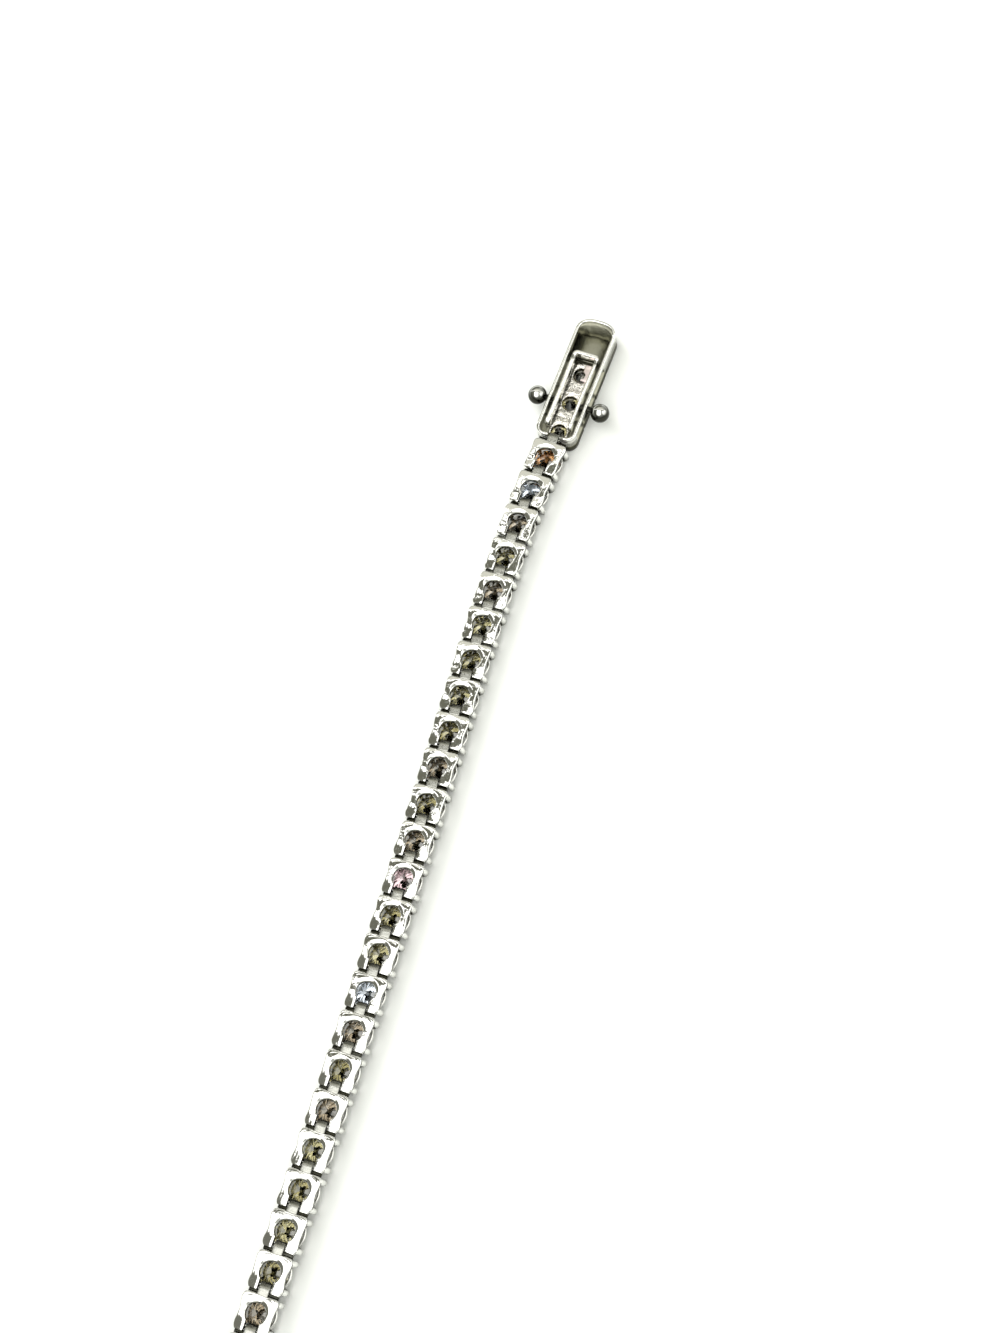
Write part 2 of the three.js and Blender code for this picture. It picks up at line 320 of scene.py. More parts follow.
def placed(points, hinge, lean, pitch_tilt=0.0, roll_tilt=0.0):
    """Points in a link's own frame (y towards the clasp), tilted a little about the link's middle, turned by the lean
    and moved to the hinge."""
    middle = np.array([0, PITCH / 2, 1.5])
    local = points - middle
    cp, sp = math.cos(pitch_tilt), math.sin(pitch_tilt)
    cr, sr = math.cos(roll_tilt), math.sin(roll_tilt)
    about_x = np.array([[1, 0, 0], [0, cp, -sp], [0, sp, cp]])
    about_y = np.array([[cr, 0, sr], [0, 1, 0], [-sr, 0, cr]])
    local = local @ (about_x @ about_y).T + middle
    c, s = math.cos(lean), math.sin(lean)
    turned = local @ np.array([[c, s, 0], [-s, c, 0], [0, 0, 1]]).T
    return turned + np.array([hinge[0], hinge[1], 0])


def skin(rings, ring_ends=True):
    """A closed surface over rings: an array (rows, points around, 3) joined row to row, with both ends closed by a
    face, or row to first row when ring_ends is false."""
    rows, around = rings.shape[:2]
    index = np.arange(rows * around).reshape(rows, around)
    nxt = np.roll(index, -1, 1)
    if ring_ends:
        quads = np.stack([index[:-1], nxt[:-1], nxt[1:], index[1:]], -1).reshape(-1, 4)
        faces = quads.tolist() + [index[0][::-1].tolist(), index[-1].tolist()]
    else:
        below, below_next = np.roll(index, -1, 0), np.roll(nxt, -1, 0)
        faces = np.stack([index, nxt, below_next, below], -1).reshape(-1, 4).tolist()
    return rings.reshape(-1, 3), faces


def together(parts):
    """Several closed surfaces as one list of points and one list of faces."""
    points, faces, used = [], [], 0
    for part_points, part_faces in parts:
        points.append(part_points)
        faces += [[i + used for i in face] for face in part_faces]
        used += len(part_points)
    return np.vstack(points), faces


def piece(name, surface, material, body, replaces=(), smooth=True, second=None):
    """A mesh object at the origin from points in millimetres; its faces are turned outwards. The second material, if
    any, comes with a list of 0 and 1 that says which faces wear it."""
    points, faces = surface
    mesh = bpy.data.meshes.new(name)
    mesh.from_pydata((points * MM).tolist(), [], faces)
    mesh.polygons.foreach_set("use_smooth", np.full(len(mesh.polygons), smooth))
    mesh.materials.append(material)
    if second:
        mesh.materials.append(second[0])
        mesh.polygons.foreach_set("material_index", second[1])
    shape = bmesh.new()
    shape.from_mesh(mesh)
    bmesh.ops.recalc_face_normals(shape, faces=shape.faces)
    shape.to_mesh(mesh)
    shape.free()
    thing = bpy.data.objects.new(name, mesh)
    bpy.context.scene.collection.objects.link(thing)
    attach(thing, body)
    if replaces:
        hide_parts(*replaces)
    return thing


def outer_edge(y):
    """Half width of the back at a height y: a squared oval, drawn in at the middle by the waist."""
    up = np.clip(np.abs(y - PITCH / 2) / BACK["half_y"], 0, 0.9999)
    oval = BACK["half_x"] * (1 - up ** BACK["squareness"]) ** (1 / BACK["squareness"])
    return oval - BACK["waist"] * np.cos(np.clip(up / 0.75, 0, 1) * math.pi / 2) ** 2


def outer_ray(angle):
    """The point of the back's outline that a ray from the window's centre meets, by bisection along the ray."""
    near, far = np.zeros_like(angle), np.full_like(angle, 4.0)
    for _ in range(30):
        r = (near + far) / 2
        x, y = r * np.cos(angle), WINDOW["y"] + r * np.sin(angle)
        inside = (np.abs(x) < outer_edge(y)) & (np.abs(y - PITCH / 2) < BACK["half_y"])
        near, far = np.where(inside, r, near), np.where(inside, far, r)
    return np.stack([near * np.cos(angle), WINDOW["y"] + near * np.sin(angle)], 1)


def horseshoe(rng):
    """The back: a section from the window's edge to the outline, carried round the horseshoe. Along an ear the section
    is level with the ear; round the window it turns with the angle. Rings at both ends shrink to round the ears."""
    mouth = math.atan2(math.sqrt(WINDOW["radius"] ** 2 - SLOT_HALF**2), SLOT_HALF)
    y_mouth = WINDOW["y"] - math.sqrt(WINDOW["radius"] ** 2 - SLOT_HALF**2)
    low = BACK["low"]
    ear_y = np.array([low, low + 0.03, low + 0.09, low + 0.2, low + 0.4, low + 0.6, low + 0.8, y_mouth - 0.12])
    ear_inner = np.stack([np.full(len(ear_y), SLOT_HALF), ear_y], 1)
    ear_outer = np.stack([outer_edge(np.maximum(ear_y, low + 0.12)), ear_y], 1)
    angle = np.linspace(-mouth, math.pi / 2, 19)
    arc_inner = WINDOW["radius"] * np.stack([np.cos(angle), np.sin(angle)], 1) + np.array([0, WINDOW["y"]])
    start = math.atan2(y_mouth - WINDOW["y"], float(outer_edge(np.array(y_mouth))))
    share = (angle + mouth) / (math.pi / 2 + mouth)
    arc_outer = outer_ray(start + share * (math.pi / 2 - start))
    inner = np.vstack([ear_inner, arc_inner])
    outer = np.vstack([ear_outer, arc_outer])
    flip = np.array([-1, 1])
    inner = np.vstack([inner, inner[:-1][::-1] * flip])
    outer = np.vstack([outer, outer[:-1][::-1] * flip])
    rows = len(inner)
    round_window = np.zeros(rows)
    round_window[len(ear_y) : rows - len(ear_y)] = 1
    round_window = np.convolve(np.pad(round_window, 2, mode="edge"), np.ones(5) / 5, "valid")
    upper_edge = np.clip((inner[:, 1] - WINDOW["y"]) / WINDOW["radius"], 0, 1) ** 0.6
    sink = 0.05 + 0.15 * round_window * upper_edge
    lip = 0.07 + 0.31 * round_window * upper_edge
    wander = rng.uniform(0, 2 * math.pi, 4)
    about = np.arctan2(outer[:, 1] - WINDOW["y"], outer[:, 0])[:, None]
    ragged = 0.014 * np.sin(3 * about + wander[0]) + 0.011 * np.sin(7 * about + wander[1])
    outer = outer + (outer - np.array([0, WINDOW["y"]])) * ragged * np.array([1, 0.3])
    ragged = 0.02 * np.sin(2 * about + wander[2]) + 0.014 * np.sin(6 * about + wander[3])
    inner = inner + (inner - np.array([0, WINDOW["y"]])) * ragged * np.array([1, 0.6])
    width = np.linalg.norm(outer - inner, axis=1)
    end = np.minimum(np.arange(rows), np.arange(rows)[::-1])
    shrink = np.interp(end, [0, 1, 2, 3], [0.1, 0.03, 0.0, 0.0])
    bottom, top = BACK["bottom"], BACK["top"]
    zero = np.zeros(rows)
    across = [zero, zero, lip * 0.5, lip, lip + 0.05]
    height = [bottom + zero, top - sink, top - sink * 0.45, top - 0.03 + zero, top + zero]
    for share_across in np.linspace(0.18, 0.82, 6):
        across.append(lip + 0.05 + (width - lip - 0.22) * share_across)
        height.append(top + zero)
    height[-1] = height[-1] - 0.022
    across += [width - 0.17, width - 0.09, width - 0.03, width, width, width - 0.08]
    height += [top + zero, top - 0.025 + zero, top - 0.08 + zero, top - 0.16 + zero, bottom + 0.08 + zero, bottom + zero]
    across, height = np.stack(across, 1), np.stack(height, 1)
    along = (outer - inner) / width[:, None]
    xy = inner[:, None, :] + along[:, None, :] * across[:, :, None]
    centre = (inner + outer)[:, None, :] / 2
    xy = centre + (xy - centre) * (1 - shrink * 0.8)[:, None, None]
    middle = (bottom + top) / 2
    height = middle + (height - middle) * (1 - shrink * 2)[:, None]
    x, y = xy[..., 0], xy[..., 1]
    crown = 0.035 * (x / BACK["half_x"]) ** 2 + 0.02 * ((y - PITCH / 2) / BACK["half_y"]) ** 2
    phase = rng.uniform(0, 2 * math.pi, 6)
    size = rng.uniform(0.5, 1.0, 3) * 0.011
    waves = size[0] * np.sin(2.1 * x + 1.3 * y + phase[0]) + size[1] * np.sin(1.1 * x - 2.6 * y + phase[1])
    waves = waves + size[2] * np.sin(3.7 * x + phase[2]) * np.sin(3.1 * y + phase[3])
    head = np.maximum(y - 3.2, 0)
    crown = crown + 0.035 * head + 0.03 * head**2
    crown = crown + 0.17 * np.maximum(-x - 0.85, 0) * np.clip((1.6 - y) / 0.4, 0, 1)
    upper = np.clip((height - middle) / (top - middle), 0, 1)
    return skin(np.stack([x, y, height + (waves - crown) * upper], -1)[:, ::-1])


def rounded_box_ring(half_x, half_z, corner, count=3):
    """A rectangle with round corners in the X-Z plane, as (x, z) points, anticlockwise seen from -Y."""
    turns = np.linspace(0, math.pi / 2, count)
    points = []
    for quarter, (sx, sz) in enumerate([(1, 1), (-1, 1), (-1, -1), (1, -1)]):
        a = turns + quarter * math.pi / 2
        centre = np.array([sx * (half_x - corner), sz * (half_z - corner)])
        points.append(centre + corner * np.stack([np.cos(a), np.sin(a)], 1))
    return np.vstack(points)


def box_along_y(half_x, low_z, high_z, stations, scales, corner):
    """A round-cornered bar along Y, with one ring at each station, scaled about its own middle."""
    half_z, mid_z = (high_z - low_z) / 2, (high_z + low_z) / 2
    ring = rounded_box_ring(half_x, half_z, corner, 4)
    rings = []
    for y, k in zip(stations, scales):
        rings.append(np.column_stack([ring[:, 0] * k, np.full(len(ring), y), mid_z + ring[:, 1] * k]))
    return skin(np.array(rings))


def hinge_tab(head_y):
    """The tab: a round-cornered section carried along the head and then turned down over the pin. Each ring stands
    square to a path of straight, quarter-turn and straight stretches. A broad shoulder bridges the open hinge line from
    below; in the tab's material it lies below the shade height, a near-black bar of painted shade in the gap."""
    half_z = (TAB["top"] - TAB["bottom"]) / 2
    mid_z = TAB["top"] - half_z
    hinge_y = head_y + HALF_GAP
    end_y = hinge_y + TAB["reach"]
    bend = 0.32
    quarter = np.linspace(0, math.pi / 2, 6)
    path = [(head_y - TAB["root"], mid_z, 0.0), (head_y, mid_z, 0.0), (head_y + 0.4, mid_z, 0.0)]
    path += [(end_y - half_z - bend + bend * math.sin(a), mid_z - bend * (1 - math.cos(a)), a) for a in quarter]
    path += [(end_y - half_z, TAB["drop"] + 0.05, math.pi / 2), (end_y - half_z, TAB["drop"], math.pi / 2)]
    rings = []
    for k, (y, z, a) in enumerate(path):
        size = 0.8 if k == len(path) - 1 else 1.0
        ring = rounded_box_ring(TAB["half"], half_z if a < 0.1 else half_z * 0.62, 0.07) * size
        rings.append(np.stack([ring[:, 0], y + ring[:, 1] * math.sin(a), z + ring[:, 1] * math.cos(a)], 1))
    stations = hinge_y + np.array([-0.27, -0.24, 0.16, 0.19])
    # painted shade: in the tab's material this bar is near black and darkens the hinge gap
    shoulder = box_along_y(1.6, 1.95, 2.42, stations, [0.9, 1, 1, 0.9], 0.1)
    return together([skin(np.array(rings)), shoulder])


def tube(path, radii, around=8):
    """A round bar along a path of 3-D points with a radius at each; rings stand square to the path's local direction."""
    path, radii = np.asarray(path, float), np.asarray(radii, float)
    tangent = np.gradient(path, axis=0)
    tangent /= np.linalg.norm(tangent, axis=1)[:, None]
    helper = np.array([0, 0, 1.0]) if abs(tangent[0, 2]) < 0.8 else np.array([1.0, 0, 0])
    side = np.cross(tangent, helper)
    side /= np.linalg.norm(side, axis=1)[:, None]
    other = np.cross(tangent, side)
    a = np.arange(around) * 2 * math.pi / around
    rings = path[:, None] + radii[:, None, None] * (
        np.cos(a)[None, :, None] * side[:, None] + np.sin(a)[None, :, None] * other[:, None]
    )
    return skin(rings)


def prong(sx, sy):
    """One prong: straight down from the back at a corner, then bent in over the stone's crown, with a rounded tip."""
    across = sx * np.array([1.5, 1.56, 1.76, 1.82, 1.76, 1.56, 1.32, 1.15, 1.07])
    along = sy * np.array([1.43, 1.43, 1.44, 1.44, 1.42, 1.35, 1.24, 1.13, 1.07])
    height = np.array([2.5, 2.2, 1.6, 1.1, 0.7, 0.42, 0.26, 0.2, 0.19])
    radius = np.array([0.36, 0.35, 0.33, 0.33, 0.31, 0.26, 0.22, 0.16, 0.05])
    path = np.column_stack([across, along + WINDOW["y"], height])
    return tube(path, radius)


def ring_bar(radius, z, half_wide, half_high, around=36):
    """A flat-sided ring about the stone's axis."""
    a = np.arange(around) * 2 * math.pi / around
    section = rounded_box_ring(half_wide, half_high, min(half_wide, half_high) * 0.6, 2)
    r = radius + section[:, 0]
    x, y = np.cos(a)[:, None] * r, WINDOW["y"] + np.sin(a)[:, None] * r
    z = np.broadcast_to(z + section[:, 1], x.shape)
    return skin(np.stack([x, y, z], -1), ring_ends=False)


def setting(rng):
    """All metal of one link but its tab, and which faces wear painted shade: the back's walls, inside and outside, near
    black.
    """
    parts = [horseshoe(rng), ring_bar(1.74, 1.25, 0.15, 0.19)]
    parts += [prong(sx, sy) for sx in (-1, 1) for sy in (-1, 1)]
    pin = [(x, 0.55, 1.95) for x in (-1.3, -1.28, 1.28, 1.3)]
    parts.append(tube(pin, [0.12, 0.2, 0.2, 0.12]))
    points, faces = together(parts)
    # painted shade: the wall strips of the back wear the near-black silver
    shaded_walls = np.zeros(len(faces), int)
    back_faces = len(parts[0][1]) - 2
    shaded_walls[:back_faces] = np.isin(np.arange(back_faces) % SECTION_POINTS, WALL_STRIPS)
    return points, faces, shaded_walls


hinges, leans = hinge_points()
chance = np.random.default_rng(7)
tilts = np.radians(chance.normal(0, 0.6, (LINKS, 2)))
tilts[:7, 0] = np.radians([-0.2, -0.6, -0.9, 1.9, 1.5, 1.1, 0.5])
tilts[:7, 1] *= 0.5
for number in range(1, LINKS + 1):
    node = f"link_{number:02d}"
    points, faces, shaded_walls = setting(chance)
    points = placed(points, hinges[number], leans[number - 1], *tilts[number - 1])
    surface = (points, faces)
    piece(f"{node}_setting", surface, LINK_SILVER, BRACELET, [node], second=(SHADE_WALL_SILVER, shaded_walls))
    points, faces = hinge_tab(PITCH - HALF_GAP)
    points = placed(points, hinges[number], leans[number - 1], *tilts[number - 1])
    piece(f"{node}_tab", (points, faces), TAB_SILVER, BRACELET)


# ---- stones ----
# A clear round brilliant in every link: a flat table, stars, kites and upper
# facets on the crown, a thin girdle, and long lower facets and mains meeting
# in a point. It lies table down, so its point shows in the back's window.

STONE = {"radius": 1.68, "table": 0.1, "girdle_low": 0.6, "girdle_high": 0.68, "point": 2.18}


def brilliant(radius, table, girdle_low, girdle_high, point, turn=0.0):
    """Corner rings of a round brilliant: table (8), star tips (8), two girdle rings (16), lower tips (8) and the
    point. Star and lower tips lie in the planes of the kites and of the mains."""
    eight = turn + np.arange(8) * math.pi / 4
    between = eight + math.pi / 8
    sixteen = turn + np.arange(16) * math.pi / 8

    def ring(angle, r, z):
        return np.stack([r * np.cos(angle), r * np.sin(angle), np.full(len(angle), z)], 1)

    table_r, star_r, lower_r = 0.56 * radius, 0.8 * radius, 0.24 * radius
    cos = math.cos(math.pi / 8)
    star_z = table + (girdle_low - table) * (star_r * cos - table_r) / (radius - table_r)
    lower_z = point - (point - girdle_high) * lower_r * cos / radius
    points = np.vstack([
        ring(eight, table_r, table),
        ring(between, star_r, star_z),
        ring(sixteen, radius, girdle_low),
        ring(sixteen, radius, girdle_high),
        ring(between, lower_r, lower_z),
        [[0, 0, point]],
    ])
    t, s, g, h, w, tip = 0, 8, 16, 32, 48, 56
    faces = [[t + k for k in range(7, -1, -1)]]
    for k in range(8):
        n, p = (k + 1) % 8, (k - 1) % 8
        a, b, c = 2 * k, 2 * k + 1, (2 * k + 2) % 16
        faces += [[t + k, t + n, s + k], [t + k, s + k, g + a, s + p], [s + k, g + b, g + a], [s + k, g + c, g + b]]
        faces += [[g + a, g + b, h + b, h + a], [g + b, g + c, h + c, h + b]]
        faces += [[w + k, h + a, h + b], [w + k, h + b, h + c], [tip, w + p, h + a, w + k]]
    return points, faces


def clear_stone(name, tint):
    """Clear cut stone: a high-index glass with a body colour; the dark tints given below are painted shade from the dim
    settings.
    """
    material = bpy.data.materials.new(name)
    material.use_nodes = True
    shader = material.node_tree.nodes["Principled BSDF"]
    shader.inputs["Base Color"].default_value = (*tint, 1)
    shader.inputs["Roughness"].default_value = 0.0
    shader.inputs["IOR"].default_value = 2.45
    shader.inputs["Transmission Weight"].default_value = 1.0
    return material


# Painted shade: the olive, umber and straw tints darken the clear stones as the dim settings do; a few stones take
# amber, cool and rose tints instead.
OLIVE_STONE = clear_stone("olive_stone", (0.27, 0.24, 0.11))
UMBER_STONE = clear_stone("umber_stone", (0.27, 0.22, 0.15))
STRAW_STONE = clear_stone("straw_stone", (0.36, 0.33, 0.17))
AMBER_STONE = clear_stone("amber_stone", (0.55, 0.27, 0.1))
COOL_STONE = clear_stone("cool_stone", (0.75, 0.82, 0.92))
ROSE_STONE = clear_stone("rose_stone", (0.82, 0.6, 0.64))
STONE_TINTS = {1: AMBER_STONE, 2: COOL_STONE, 13: ROSE_STONE, 16: COOL_STONE, 28: AMBER_STONE, 34: COOL_STONE}
for number in range(1, LINKS + 1):
    points, faces = brilliant(
        STONE["radius"], STONE["table"], STONE["girdle_low"], STONE["girdle_high"], STONE["point"],
        chance.uniform(0, math.pi / 4),
    )
    points = points + np.array([0, WINDOW["y"], 0])
    points = placed(points, hinges[number], leans[number - 1], *tilts[number - 1])
    tint = STONE_TINTS.get(number, [OLIVE_STONE, UMBER_STONE, STRAW_STONE][number * 5 % 7 % 3])
    piece(f"link_{number:02d}_stone", (points, faces), tint, BRACELET, smooth=False)


# ---- clasp housing ----
# One casting: a thick front with three seats for stones, a low wall round it
# with a long slot in each side for the studs, a rounded rim, and a notch with
# a hinge pin at the base for the first link's tab.

CLASP = {"half": 2.33, "base": 0.35, "radius": 1.1, "shoulder": 13.6, "rise": 1.78}
RIM = {"wall": 0.38, "floor": 1.4, "slot_top": 2.5, "top": 3.03, "slot_low": 1.5, "slot_high": 10.2, "notch": 0.72}
SEATS = [1.75, 5.35, 8.95]
CLASP_TURN = math.radians(CLASP_LEAN)
# Painted shade: each clasp colour darkens from its bright height down to its shade height; the floor faces stay dim
# throughout, the shade in the channels and low on the sides. The plate darkens only at its underside.
TRAY_SILVER = silver("tray_silver", 800, 0.00006, 0.06, 0.2, 0.0014, 0.0029, (0.42, 0.41, 0.32), (0.92, 0.92, 0.88))
FLOOR_SILVER = silver("floor_silver", 1300, 0.00006, 0.3, 0.5, 0.0009, 0.00138, (0.05, 0.05, 0.033), (0.36, 0.355, 0.28))
BED_SILVER = silver("bed_silver", 2600, 0.00025, 0.16, 0.38, 0.0013, 0.00148, (0.1, 0.09, 0.06), (0.9, 0.87, 0.82))
PLATE_SILVER = silver("plate_silver", 1500, 0.00004, 0.3, 0.45, 0.0012, 0.0014, (0.2, 0.15, 0.14), (0.8, 0.7, 0.67))


def tray_outline(inset):
    """The housing's outline moved inwards, from the notch's right side round the tip to its left side: a quarter turn
    at each base corner, a straight side, and over the tip x = h |cos a|^p, y = s + r |sin a|^p with p = 0.8."""
    half, base = CLASP["half"] - inset, CLASP["base"] + inset
    radius, rise = CLASP["radius"] - inset, CLASP["rise"] - inset
    turn_angle = np.linspace(-math.pi / 2, 0, 9)
    corner = np.stack([half - radius + radius * np.cos(turn_angle), base + radius + radius * np.sin(turn_angle)], 1)
    heights = [RIM["slot_low"], 3.2, 5.0, 6.8, 8.6, RIM["slot_high"], 12.0, CLASP["shoulder"]]
    side = np.array([[half, y] for y in heights])
    a = np.linspace(0, math.pi / 2, 17)[1:]
    tip = np.stack([half * np.abs(np.cos(a)) ** 0.8, CLASP["shoulder"] + rise * np.sin(a) ** 0.8], 1)
    tip[-1, 0] = 0
    right = np.vstack([[[RIM["notch"], base]], corner, side, tip])
    return np.vstack([right, right[:-1][::-1] * np.array([-1, 1])])


def wall(stations, low, high, rng):
    """A stretch of the housing's wall between two heights: a round-topped section at each station of the outline,
    with a slight unevenness in height from a few sines of the station's own place."""
    outer, inner = tray_outline(0)[stations], tray_outline(RIM["wall"])[stations]
    share = np.array([0.0, 0.0, 0.06, 0.2, 0.42, 0.62, 0.82, 0.95, 1.0, 1.0])
    drop = np.array([high - low, 0.2, 0.09, 0.02, 0.0, 0.0, 0.03, 0.1, 0.22, high - low])
    xy = outer[:, None] + (inner - outer)[:, None] * share[:, None]
    phase = rng.uniform(0, 6, 3)
    uneven = 0.012 * (np.sin(1.7 * outer[:, 1] + phase[0]) + np.sin(3.1 * outer[:, 1] + 2.3 * outer[:, 0] + phase[1]))
    z = high - drop + np.where(drop < 0.3, uneven[:, None], 0)
    return skin(np.concatenate([xy, z[..., None]], -1))


def tip_ramp():
    """The casting's thick slope inside the tip: between two insets of the outline, each station takes a section whose
    width grows from nothing at the shoulders to its whole at the tip."""
    outline, deep = tray_outline(0.3), tray_outline(1.35)
    at_tip = outline[:, 1] > 12.5
    outline, deep = outline[at_tip], deep[at_tip]
    grown = np.clip((outline[:, 1] - 13.4) / 1.3, 0.12, 1)
    share = np.array([0.0, 0.3, 0.75, 1.0, 1.0, 0.0])
    z = np.array([2.9, 2.72, 2.2, 1.62, 1.3, 1.3])
    xy = outline[:, None] + (deep - outline)[:, None] * (grown[:, None] * share)[..., None]
    return skin(np.concatenate([xy, np.broadcast_to(z, xy.shape[:2])[..., None]], -1))


def in_tray(x, y):
    """True inside the housing's sides and round base corners: the distance past the corner's centre is less than its
    radius."""
    aside = np.maximum(np.abs(x) - CLASP["half"] + CLASP["radius"], 0)
    below = np.maximum(CLASP["base"] + CLASP["radius"] - y, 0)
    return np.hypot(aside, below) < CLASP["radius"] - 0.02


def in_bed(x, y):
    """True between the two spring arms."""
    return np.abs(x) < 1.06 - 0.02 * np.sin(4.1 * y) * np.sign(x)


def seat_block(centre, low, high, inside, hole, section):
    """A block of floor round one seat: at every angle about the seat's axis, the section's shares run from the hole's
    edge out to the block's outline, which is found by bisection along the ray."""
    angle = np.arange(64) * math.pi / 32
    near, far = np.full(64, hole), np.full(64, 6.0)
    for _ in range(30):
        r = (near + far) / 2
        x, y = r * np.cos(angle), centre + r * np.sin(angle)
        within = inside(x, y) & (y > low) & (y < high)
        near, far = np.where(within, r, near), np.where(within, far, r)
    share, extra, height = np.array(section).T
    r = hole + extra + (near - hole)[:, None] * share
    r = np.minimum(r, np.maximum(near, hole + 0.02)[:, None])
    rings = np.stack([r * np.cos(angle)[:, None], centre + r * np.sin(angle)[:, None], np.zeros_like(r) + height], -1)
    return skin(rings, ring_ends=False)


def housing(rng):
    """All of the housing but its rough bed: three seat blocks, the tip's floor, walls, rim, notch sill and pin; and
    which faces are the floor's."""
    top = RIM["floor"]
    floor = [(0, 0, top), (0.5, 0, top), (1, 0, top), (1, 0, 0.1), (0.97, 0, 0), (0, 0.76, 0), (0, 0.79, 0.05),
             (0, 0.79, 0.72), (0, 0.02, top - 0.02)]
    edges = [CLASP["base"] + 0.01, 3.55, 7.15, 10.75]
    parts = [seat_block(SEATS[k], edges[k] - 0.02, edges[k + 1] + 0.02, in_tray, 0.92, floor) for k in range(3)]
    outline = tray_outline(0.02)
    tip = outline[(outline[:, 1] > RIM["slot_high"] + 0.1)]
    tip = np.vstack([[[CLASP["half"] - 0.02, 10.7]], tip, [[-CLASP["half"] + 0.02, 10.7]]])
    levels = [(0.98, 0.0), (1.0, 0.12), (1.0, 0.7), (1.0, top)]
    middle = np.array([0, 12.6])
    parts.append(skin(np.array([np.column_stack([middle + (tip - middle) * k, np.full(len(tip), z)])
                                for k, z in levels])))
    parts.append(tip_ramp())
    everywhere = np.arange(len(outline))
    low = everywhere[outline[:, 1] < RIM["slot_low"] + 0.01]
    high = everywhere[outline[:, 1] > RIM["slot_high"] - 0.01]
    half_low = len(low) // 2
    parts += [wall(low[:half_low], top - 0.1, RIM["slot_top"] + 0.1, rng)]
    parts += [wall(low[half_low:], top - 0.1, RIM["slot_top"] + 0.1, rng)]
    parts += [wall(high, top - 0.1, RIM["slot_top"] + 0.1, rng), wall(everywhere, RIM["slot_top"], RIM["top"], rng)]
    parts.append(box_along_y(0.8, 1.2, 1.6, [0.37, 0.4, 0.68, 0.72], [0.9, 1, 1, 0.9], 0.08))
    parts.append(tube([(x, 0.55, 1.95) for x in (-1.0, -0.98, 0.98, 1.0)], [0.12, 0.2, 0.2, 0.12]))
    points, faces = together(parts)
    on_floor = np.zeros(len(faces), int)
    on_floor[: sum(len(part[1]) for part in parts[:5])] = 1
    return points, faces, on_floor


def bed(rng):
    """The rough casting left between the arms: a raised skin round the three holes, a ragged ridge, and lumps of
    unremoved metal."""
    level = 1.5
    section = [(0, 0, level - 0.05), (0, 0.05, level), (0.5, 0, level), (1, -0.03, level), (1, 0, level - 0.04),
               (1, 0, 1.25), (0, 0, 1.25)]
    edges = [1.3, 3.55, 7.15, 10.4]
    parts = [seat_block(SEATS[k], edges[k] - 0.02, edges[k + 1] + 0.02, in_bed, 0.9, section) for k in range(3)]
    across = np.linspace(-0.85, 0.85, 12)
    zigzag = 7.2 + 0.24 * np.where(np.arange(12) % 2 == 0, 1, -1) * rng.uniform(0.5, 1.2, 12)
    parts.append(tube(np.column_stack([across, zigzag, 1.52 + 0.08 * rng.uniform(-1, 1, 12)]), np.full(12, 0.15)))
    for x, y, r in [(-0.5, 3.2, 0.2), (0.45, 3.6, 0.24), (-0.2, 3.9, 0.17), (0.7, 6.95, 0.16), (-0.75, 7.6, 0.15)]:
        lump = [(x - r, y, 1.48), (x - r * 0.6, y + 0.02, 1.5), (x, y, 1.52), (x + r * 0.7, y - 0.03, 1.5), (x + r, y, 1.48)]
        parts.append(tube(lump, np.array([0.2, 0.8, 1.0, 0.7, 0.2]) * r * 0.7))
    return together(parts)


points, faces, on_floor = housing(chance)
surface = (placed(points, hinges[0], CLASP_TURN), faces)
floor_faces = (FLOOR_SILVER, on_floor)
piece("clasp_tray", surface, TRAY_SILVER, BRACELET, ["clasp_housing"], second=floor_faces)
points, faces = box_along_y(0.45, 1.36, 1.6, [8.3, 8.36, 8.8, 9.6, 10.3, 10.36], [0.9, 1, 1, 1, 1, 0.9], 0.07)
points = placed(points + np.array([0.54, 0, 0]), hinges[0], CLASP_TURN)
piece("clasp_plate", (points, faces), PLATE_SILVER, BRACELET)
points, faces = bed(chance)
points = placed(points, hinges[0], CLASP_TURN)
piece("clasp_bed", (points, faces), BED_SILVER, BRACELET)
for number, seat in enumerate(SEATS, 1):
    points, faces = brilliant(1.58, 0.1, 0.58, 0.65, 2.0, 0.2 * number)
    points = placed(points + np.array([0, seat, 0]), hinges[0], CLASP_TURN)
    node = f"clasp_stone_{number}"
    piece(f"{node}_cut", (points, faces), OLIVE_STONE, BRACELET, [node], smooth=False)


# ---- spring strip and ball studs ----
# One bright strip on edge, bent in a square U: its bar is fixed across the
# housing and its two arms spring. A turned ball on a short stem is riveted to
# each arm and stands out through the slot in the wall.

# Painted light and shade: the strip darkens towards its lower edge, and each ball is bright only on its top cap, near
# black on its sides and stem.
STRIP_SILVER = silver("strip_silver", 500, 0.00003, 0.1, 0.2, 0.0014, 0.0027, (0.06, 0.057, 0.036), (0.97, 0.97, 0.93))
STUD_SILVER = silver("stud_silver", 400, 0.00001, 0.03, 0.07, 0.0025, 0.00303, (0.035, 0.035, 0.028), (0.85, 0.85, 0.82))
ARM_X = 1.3
STUD = {"y": 5.05, "z": 1.95, "centre": 3.72, "radius": 1.06}


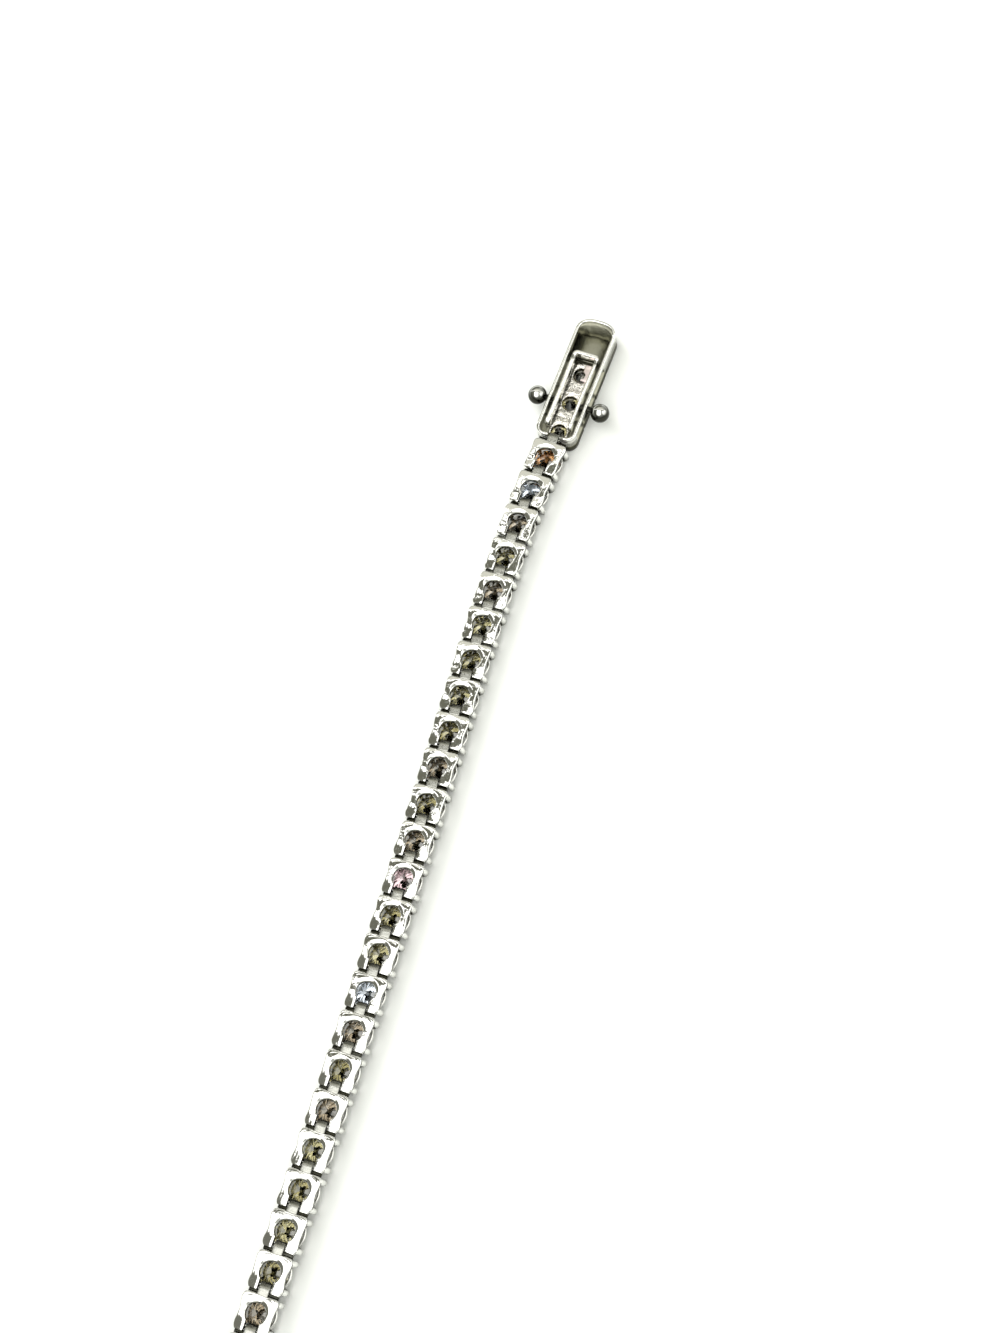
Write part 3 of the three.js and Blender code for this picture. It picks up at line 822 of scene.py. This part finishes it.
def strip(path, half_thick, low, high):
    """A flat strip on edge along a path in the X-Y plane, with round long edges."""
    path = np.asarray(path, float)
    tangent = np.gradient(path, axis=0)
    tangent /= np.linalg.norm(tangent, axis=1)[:, None]
    aside = np.stack([-tangent[:, 1], tangent[:, 0]], 1)
    ring = rounded_box_ring(half_thick, (high - low) / 2, 0.1, 4)
    xy = path[:, None] + aside[:, None] * ring[:, 0][:, None]
    z = np.broadcast_to((low + high) / 2 + ring[:, 1], xy.shape[:2])
    return skin(np.concatenate([xy, z[..., None]], -1))


def ball(centre, radius):
    """A sphere as rings about the X axis: radius r sin(a) at distance r cos(a) from the centre."""
    a = np.linspace(0.04, math.pi - 0.04, 25)
    around = np.arange(36) * math.pi / 18
    x = np.broadcast_to(radius * np.cos(a)[:, None], (25, 36))
    y, z = radius * np.sin(a)[:, None] * np.cos(around), radius * np.sin(a)[:, None] * np.sin(around)
    return skin(np.stack([x, y, z], -1) + np.array(centre))


corner = np.linspace(0, math.pi / 2, 6)
right_bend = np.column_stack([ARM_X - 0.3 + 0.3 * np.cos(corner), 10.73 + 0.3 * np.sin(corner)])
bar_path = np.vstack([[[ARM_X, 10.58]], right_bend, right_bend[::-1] * np.array([-1, 1]), [[-ARM_X, 10.58]]])
points, faces = strip(bar_path, 0.23, 1.46, 2.94)
points = placed(points, hinges[0], CLASP_TURN)
piece("spring_bend", (points, faces), STRIP_SILVER, BRACELET, ["spring_bar"])
for side, label, half_thick in [(-1, "left", 0.26), (1, "right", 0.2)]:
    stretch = np.linspace(1.88, 10.55, 14)
    bow = side * (ARM_X + 0.015 * np.sin(0.8 * stretch))
    metal = together([
        strip(np.column_stack([bow, stretch]), half_thick, 1.6, 2.92),
        tube([(side * x, STUD["y"] - 1.2, 2.55) for x in (0.92, 0.97, 1.2, 1.25)], [0.1, 0.2, 0.22, 0.15]),
    ])
    turned_stud = together([
        tube([(side * x, STUD["y"], STUD["z"]) for x in (1.0, 1.03, 1.3, 2.9, 3.0)], [0.3, 0.36, 0.4, 0.4, 0.3], 20),
        ball((side * STUD["centre"], STUD["y"], STUD["z"]), STUD["radius"]),
    ])
    body = f"{label}_stud"
    points = placed(metal[0], hinges[0], CLASP_TURN)
    piece(f"spring_strip_{label}", (points, metal[1]), STRIP_SILVER, body, [f"spring_arm_{label}"])
    points = placed(turned_stud[0], hinges[0], CLASP_TURN)
    piece(f"ball_stud_{label}", (points, turned_stud[1]), STUD_SILVER, body)


# ---- tongue ----
# The plain end that the clasp takes: a cast block as wide as a link, with a
# flat rolled plate soldered into it and the last link's kind of tab.

block = box_along_y(1.62, 0.0, 2.85, [-0.1, -0.16, -0.3, -2.4, -2.54, -2.6], [0.93, 0.98, 1, 1, 0.98, 0.93], 0.25)
plate_y = [-2.3, -9.2, -9.3, -9.5, -9.72, -9.8]
plate = box_along_y(1.15, 1.3, 2.3, plate_y, [1, 1, 1, 1, 1, 0.92], 0.14)
narrow = np.interp(plate[0][:, 1], [-9.8, -9.2], [0.52, 1.0])
plate = (plate[0] * np.stack([narrow, np.ones_like(narrow), np.ones_like(narrow)], 1), plate[1])
points, faces = together([block, plate, hinge_tab(-HALF_GAP)])
points = placed(points, hinges[LINKS], leans[LINKS - 1])
piece("tongue_plate", (points, faces), LINK_SILVER, BRACELET, ["tongue"])
